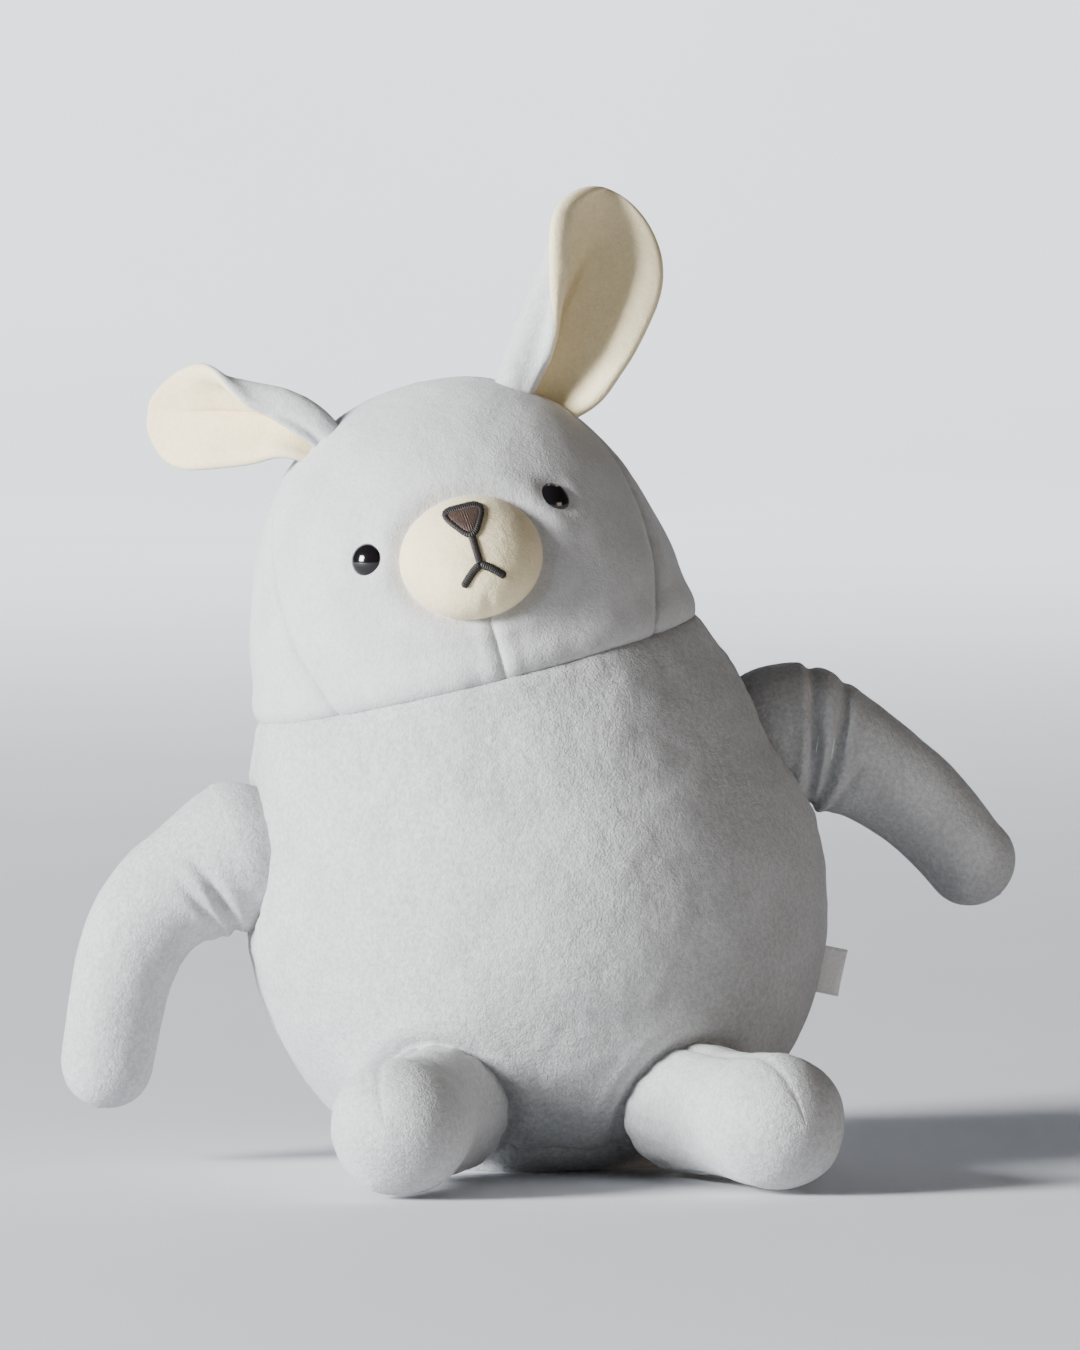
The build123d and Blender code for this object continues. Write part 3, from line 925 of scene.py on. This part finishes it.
# ---- ears ----
# Values along an ear from its root inside the head to its tip, for the lobe nearer the crown and
# then the outer one where there are two rows. half: flat width of a lobe, mm. valley: how far the
# lobes rise from the middle crease, in degrees. fold: how far the outer half of a lobe folds over
# on itself. roll: how far its rim turns back. crease: how much of a lobe's width the middle crease
# takes. bow: how far the crease lies off the ear's axis, mm. tip: where along the ear its end
# starts to round off. short: how much of its length the ear loses by curling, mm.
EAR_KNOTS = np.array([0.0, 0.15, 0.35, 0.6, 0.8, 1.0])
EAR_SHAPE = {
    "left": dict(
        half=((19.0, 22.0, 25.0, 28.0, 26.5, 21.0), (9.0, 20.0, 24.5, 26.0, 24.5, 21.0)),
        valley=(8, 12, 18, 24, 26, 22),
        fold=((165, 156, 140, 110, 62, 24), (46, 50, 46, 38, 26, 10)),
        roll=((0, 8, 60, 140, 105, 50), (0, 10, 30, 50, 40, 20)),
        crease=0.16,
        bow=(0, 0, 0, 0, 0, 0),
        tip=0.62,
        short=0.0,
    ),
    "right": dict(
        half=((14.0, 16.5, 19.5, 17.0, 14.5, 12.0), (8.0, 12.5, 16.0, 18.5, 18.5, 16.0)),
        valley=(46, 42, 36, 34, 26, 12),
        fold=((150, 136, 96, 26, 0, 0), (30, 14, 0, 0, 0, 0)),
        roll=((0, 0, 10, 20, 15, 5), (0, 0, 10, 20, 15, 5)),
        crease=0.07,
        bow=(1.0, 1.2, 1.6, 1.2, 0.2, -1.0),
        tip=0.55,
        short=4.0,
    ),
}


def smooth_values(u, knots, values):
    """Values at u on a smooth curve through the knots."""
    values = np.asarray(values, float)
    slopes = np.gradient(values, knots)
    i = np.clip(np.searchsorted(knots, u, "right") - 1, 0, len(knots) - 2)
    h = knots[i + 1] - knots[i]
    t = (u - knots[i]) / h
    return (
        (2 * t**3 - 3 * t**2 + 1) * values[i]
        + (t**3 - 2 * t**2 + t) * h * slopes[i]
        + (-2 * t**3 + 3 * t**2) * values[i + 1]
        + (t**3 - t**2) * h * slopes[i + 1]
    )


def ear_frame(side):
    """Pivot, length, width and opening directions of an ear in the rabbit's frame. The width
    direction points away from the crown on the left ear and towards it on the right."""
    angle = SIDES[side] * EAR_BASE[side]
    reach = DOME_R + EAR_RISE
    pivot = np.array([reach * sin(angle), 0.0, DOME_Z + reach * cos(angle)])
    along = np.array(EAR_DIRECTION[side])
    along /= np.linalg.norm(along)
    width = np.cross([0.0, 1.0, 0.0], along)
    width /= np.linalg.norm(width)
    opening = np.cross(width, along)
    turn = -SIDES[side] * EAR_TURN[side]
    width, opening = (
        width * cos(turn) + opening * sin(turn),
        opening * cos(turn) - width * sin(turn),
    )
    return pivot, along, width, opening


def ear_grid(side, rows, cols):
    """The ear's middle layer: how far along the ear each row is, how far across and forwards of
    the spine each point is, the cloth's angle there, and its distance to the rim."""
    shape = EAR_SHAPE[side]
    u = 1 - (1 - np.linspace(0, 1, rows)) ** 1.3
    u[-1] = 0.9995
    v = np.sin(np.linspace(-pi / 2, pi / 2, cols))
    tip = np.sqrt(1 - np.clip((u - shape["tip"]) / (1 - shape["tip"]), 0, 1) ** 2.4)
    valley = smooth_values(u, EAR_KNOTS, shape["valley"])[:, None]
    fine = np.linspace(0, 1, 160)
    across, forward, angle, rim = (np.zeros((rows, cols)) for _ in range(4))
    for lobe, sign, middle, spread in ((0, -SIDES[side], 0.50, 0.26), (1, SIDES[side], 0.45, 0.40)):
        half = smooth_values(u, EAR_KNOTS, shape["half"][lobe]) * tip
        fold = smooth_values(u, EAR_KNOTS, shape["fold"][lobe])[:, None]
        roll = smooth_values(u, EAR_KNOTS, shape["roll"][lobe])[:, None]
        bend = valley * np.tanh(fine / shape["crease"])
        bend = bend + fold * smooth_step(fine, middle - spread, middle + spread)
        bend = np.radians(bend - roll * smooth_step(fine, 0.70, 0.97))
        step = half[:, None] * (fine[1] - fine[0])
        x = np.cumsum(np.cos(bend), axis=1) * step
        y = np.cumsum(np.sin(bend), axis=1) * step
        on_lobe = v * sign >= 0
        for i in range(rows):
            at = np.abs(v[on_lobe])
            across[i, on_lobe] = sign * np.interp(at, fine, x[i] - x[i, 0])
            forward[i, on_lobe] = np.interp(at, fine, y[i] - y[i, 0])
            angle[i, on_lobe] = sign * np.interp(at, fine, bend[i])
            rim[i, on_lobe] = (1 - at) * half[i]
    pressed = 1 - smooth_step(u, 0.55, 0.85)[:, None]
    forward -= 1.5 * pressed * np.exp(-((across / 1.3) ** 2))
    across += smooth_values(u, EAR_KNOTS, shape["bow"])[:, None]
    end = ((1 - u) * (EAR_LENGTH - shape["short"]))[:, None] + 0 * rim
    edge = rim * end / np.maximum(np.hypot(rim, end), 1e-6)
    return u, across, forward, angle, edge


def ear_spine(side, u):
    """Centre line of an ear, square out of the head and then along it, with its width and opening
    directions."""
    pivot, along, width, opening = ear_frame(side)
    angle = SIDES[side] * EAR_BASE[side]
    out = np.array([sin(angle), 0.0, cos(angle)])
    distance = u * (EAR_LENGTH - EAR_SHAPE[side]["short"] + EAR_ROOT) - EAR_ROOT
    mix = smooth_step(distance, -8.0, 9.0)[:, None]
    direction = out * (1 - mix) + along * mix
    direction /= np.linalg.norm(direction, axis=1)[:, None]
    step = np.diff(distance, prepend=distance[0])[:, None]
    line = np.cumsum(direction * step, axis=0)
    at_pivot = np.array([np.interp(0.0, distance, line[:, k]) for k in range(3)])
    line += pivot - at_pivot
    axes = []
    for d in direction:
        turn = Vector(along).rotation_difference(Vector(d)).to_matrix()
        axes.append([turn @ Vector(width), turn @ Vector(opening)])
    axes = np.array(axes)
    return line, axes[:, 0], axes[:, 1]


def make_ear(side):
    """Grey back and cream lining, each a closed padded leaf, folded together at the base."""
    rows, cols = 96, 84
    u, across, forward, angle, edge = ear_grid(side, rows, cols)
    line, width, opening = ear_spine(side, u)
    width, opening = width[:, None, :], opening[:, None, :]
    facing = -np.sin(angle)[..., None] * width + np.cos(angle)[..., None] * opening
    middle = line[:, None, :] + across[..., None] * width + forward[..., None] * opening
    facing, middle, edge = facing.reshape(-1, 3), middle.reshape(-1, 3), edge.ravel()
    roll = np.sqrt(np.maximum(1 - (1 - np.minimum(edge / 2.0, 1)) ** 2, 0))
    n = rows * cols
    border = list(range(cols)) + [i * cols + cols - 1 for i in range(1, rows)]
    border += [(rows - 1) * cols + j for j in range(cols - 2, -1, -1)]
    border += [i * cols for i in range(rows - 2, 0, -1)]
    faces = grid_faces(rows, cols, wrap=False)
    faces += [tuple(reversed(f)) for f in grid_faces(rows, cols, wrap=False, start=n)]
    faces += [(a, b, b + n, a + n) for a, b in zip(border, border[1:] + border[:1])]
    made = []
    for layer, material, sign, thick in (("back", GREY, -1, 1.5), ("lining", CREAM, 1, 1.8)):
        wrinkle = 0.35 * noise(middle, 11, 2, 3.0 + sign) + 0.10 * noise(middle, 3.5, 1, sign)
        lift = 0.03 + roll * (thick + wrinkle * smooth_step(edge, 0, 4))
        outer = middle + facing * (sign * lift)[:, None]
        inner = middle + facing * (sign * 0.02 * roll)[:, None]
        points = to_row(np.concatenate([outer, inner])) * MM
        made.append(outward(new_object(f"{side}_ear_{layer}", points, faces, material)))
    return made


# ---- tail and label ----
def make_tail():
    """A small round puff, gathered where it is sewn on."""
    slope = asin((TAIL_Z + NECK_ABOVE_BALL) / BALL_R)
    out = np.array([0.0, cos(slope), sin(slope)])
    centre = np.array([0.0, 0.0, -NECK_ABOVE_BALL]) + out * (BALL_R + 0.55 * TAIL_R)
    line = [(TAIL_R * sin(a), -TAIL_R * cos(a)) for a in np.linspace(0.0, pi, 40)]
    obj = revolved("tail_cover", line, centre, out, CREAM, 80)

    def puff(row):
        p = from_row(row)
        swell = 1 + 0.05 * noise(p, 7, 2) + 0.02 * noise(p, 2.5, 2)
        return to_row(centre + (p - centre) * swell[:, None])

    reshape(obj, puff)
    return obj


def make_label():
    """A blank folded satin ribbon caught in the side seam."""
    low, high = (Vector(v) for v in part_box("care_label"))
    centre = (low + high) / 2
    out = Vector((cos(LABEL_TILT), 0, -sin(LABEL_TILT)))
    up = Vector((sin(LABEL_TILT), 0, cos(LABEL_TILT)))
    width, length = LABEL_WIDTH / 1000, 2 * LABEL_REACH / 1000
    rows, cols = 16, 14
    verts = []
    for i in range(rows):
        s = i / (rows - 1)
        fold = 2 * s - 1
        bulge = 1 - abs(fold) ** 6
        for j in range(cols):
            t = j / (cols - 1) - 0.5
            wave = 0.5 * sin(5 * s + 3 * t)
            y = 1.1 * fold * bulge + wave
            p = centre + out * (LABEL_REACH * bulge - 7.0) * MM + up * (t * width)
            verts.append(p + Vector((0, y * MM, 0)))
    obj = new_object("care_label", verts, grid_faces(rows, cols, wrap=False), SATIN)
    apply_modifier(obj, "SOLIDIFY", thickness=0.3 * MM, offset=0.0)
    return obj


# ---- put it together ----
def add(piece, body, *nodes, fill=None, slot=None):
    """Puts a piece on a body, in place of the CAD nodes that it stands for."""
    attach(piece, body)
    if nodes:
        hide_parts(*nodes)


def add_bending(piece, node, slot, bodies, start, direction, length, fill):
    """Bakes a stuffed piece's place into its mesh, in place of the CAD node that it stands for."""
    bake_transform(piece)
    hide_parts(node)


def build():
    """Every piece of the rabbit, and materials for the CAD nodes that stay."""
    for name, panel in make_panels().items():
        add(panel, "torso", name, fill=0.9, slot="grey_plush")

    points, faces = bell_surface(90, 120, inset=BODY_COVER)
    filling = new_object("body_filling", settle(to_row(points), 2.5) * MM, faces, FIBRE)
    add(outward(filling), "torso", "body_filling", fill=0.9, slot="polyester_filling")

    muzzle = make_muzzle()
    core = make_filling_copy(muzzle, "muzzle_filling", SMALL_COVER)
    add(muzzle, "torso", "muzzle_cover", fill=0.9, slot="cream_plush")
    add(core, "torso", "muzzle_filling", fill=0.9, slot="polyester_filling")
    add(make_nose(), "torso", "nose_embroidery", slot="brown_thread")
    outline = [(x, z + NOSE_Z) for x, z in nose_outline(60)]
    rim = stitched_line("nose_outline", outline, 1.5, True, 0.55)
    add(rim, "torso", slot="black_thread")
    add(make_mouth(), "torso", "mouth_embroidery", slot="black_thread")

    tail = make_tail()
    core = make_filling_copy(tail, "tail_filling", SMALL_COVER)
    add(tail, "torso", "tail_cover", fill=0.8, slot="cream_plush")
    add(core, "torso", "tail_filling", fill=0.8, slot="polyester_filling")
    add(make_label(), "torso", "care_label", slot="satin_label")

    for side, across in SIDES.items():
        add(make_eye(side), "torso", f"{side}_eye", slot="black_bead")

        root_x, root_z = ARM_ROUTES[side][0]
        start = row_point(root_x, 0, root_z)
        route = arm_route(side, 12)
        place = (start, ROW.to_3x3() @ Vector(route[3] - route[0]).normalized(), ARM_BLEND, 0.85)
        bodies = (f"{side}_shoulder", f"{side}_arm")
        arm = make_arm(side)
        core = make_filling_copy(arm, f"{side}_arm_filling", LIMB_COVER)
        add_bending(arm, f"{side}_arm_cover", "grey_plush", bodies, *place)
        add_bending(core, f"{side}_arm_filling", "polyester_filling", bodies, *place)

        start = Vector((across * HIP[0], HIP[1], HIP_Z)) * MM
        place = (start, Vector((across * sin(LEG_SPLAY), -cos(LEG_SPLAY), 0)), LEG_BLEND, 0.85)
        bodies = ("torso", f"{side}_leg")
        leg = make_leg(side)
        core = make_filling_copy(leg, f"{side}_leg_filling", LIMB_COVER)
        add_bending(leg, f"{side}_leg_cover", "grey_plush", bodies, *place)
        add_bending(core, f"{side}_leg_filling", "polyester_filling", bodies, *place)

        pivot, along, _, _ = ear_frame(side)
        place = (row_point(*pivot), ROW.to_3x3() @ Vector(along), EAR_BLEND, 0.3)
        bodies = ("torso", f"{side}_ear")
        back, lining = make_ear(side)
        add_bending(back, f"{side}_ear_back", "grey_plush", bodies, *place)
        add_bending(lining, f"{side}_ear_lining", "cream_plush", bodies, *place)

    kept = {"pellet_bag": COTTON, "pellets": PELLETS}
    for side in SIDES:
        kept[f"{side}_eye_washer"] = WASHER
        kept[f"{side}_arm_knot"] = GREY
    for node, material in kept.items():
        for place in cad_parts[node].material_slots:
            place.material = material


# ---- studio ----
VIEW_AZIMUTH, VIEW_ELEVATION = radians(-7.2), radians(3.0)
VIEW_DISTANCE, VIEW_HEIGHT = 3.4, 0.368
FLOOR_FRONT, FLOOR_BACK, FLOOR_LENGTH, FLOOR_HALF, BEND_R = -6.5, 5.2, 16.0, 8.0, 0.8


def area_light(name, location, target, size, power, colour):
    """A rectangular light aimed at a target."""
    data = bpy.data.lights.new(name, "AREA")
    data.shape = "RECTANGLE"
    data.size, data.size_y = size
    data.energy = power
    data.color = colour
    obj = bpy.data.objects.new(name, data)
    obj.location = location
    obj.rotation_euler = (Vector(target) - Vector(location)).to_track_quat("-Z", "Y").to_euler()
    bpy.context.scene.collection.objects.link(obj)


def make_backdrop():
    """A pale floor that curves up into a wall behind the rabbit."""
    rows, cols = 80, 3
    verts = []
    for i in range(rows):
        s = i / (rows - 1) * FLOOR_LENGTH + FLOOR_FRONT
        bend = max(s - FLOOR_BACK, 0.0)
        angle = min(bend / BEND_R, pi / 2)
        y = min(s, FLOOR_BACK) + BEND_R * sin(angle)
        z = BEND_R * (1 - cos(angle)) + max(bend - BEND_R * pi / 2, 0.0)
        for j in range(cols):
            verts.append((FLOOR_HALF * (j - 1), y, z))
    material, tree, shader = nodes_of("backdrop")
    tone = mix_colour(tree, object_noise(tree, 3, 2.0), (0.66, 0.685, 0.73), (0.69, 0.71, 0.75))
    tree.links.new(tone, shader.inputs["Base Color"])
    set_inputs(shader, {"Roughness": 0.9})
    floor = new_object("backdrop", verts, grid_faces(rows, cols, wrap=False), material)
    floor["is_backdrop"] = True


def make_lights():
    """A large window on the rabbit's right, light on the wall, and a weak warm glow on its left."""
    world = bpy.data.worlds.new("studio")
    world.use_nodes = True
    sky = world.node_tree.nodes["Background"]
    set_inputs(sky, {"Color": (0.95, 0.97, 1.0, 1), "Strength": 0.05})
    bpy.context.scene.world = world

    middle = (0.0, 0.0, 0.13)
    area_light("window", (-3.6, -1.45, 1.2), middle, (1.4, 1.4), 640, (0.99, 0.995, 1.0))
    area_light("backdrop_wash", (0.4, 3.4, 3.2), (0.4, 6.0, 0.5), (3.2, 0.8), 320, (0.98, 0.99, 1.0))
    area_light("warm_fill", (1.3, -1.0, 0.05), middle, (0.8, 0.8), 7.5, (1.0, 0.82, 0.66))


def make_camera():
    """A long lens, just above level and a little to the rabbit's right of straight ahead."""
    low, high = (Vector(v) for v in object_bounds())
    centre = (low + high) / 2
    back = Vector((
        sin(VIEW_AZIMUTH) * cos(VIEW_ELEVATION),
        -cos(VIEW_AZIMUTH) * cos(VIEW_ELEVATION),
        sin(VIEW_ELEVATION),
    ))
    camera = bpy.data.cameras.new("camera")
    camera.sensor_width = 36.0
    camera.lens = camera.sensor_width * VIEW_DISTANCE / VIEW_HEIGHT
    camera.clip_end = 20.0
    obj = bpy.data.objects.new("camera", camera)
    obj.location = Vector((centre[0], 0.0, centre[2])) + back * VIEW_DISTANCE
    obj.rotation_euler = (-back).to_track_quat("-Z", "Y").to_euler()
    bpy.context.scene.collection.objects.link(obj)
    bpy.context.scene.camera = obj


build()
make_backdrop()
make_lights()
make_camera()
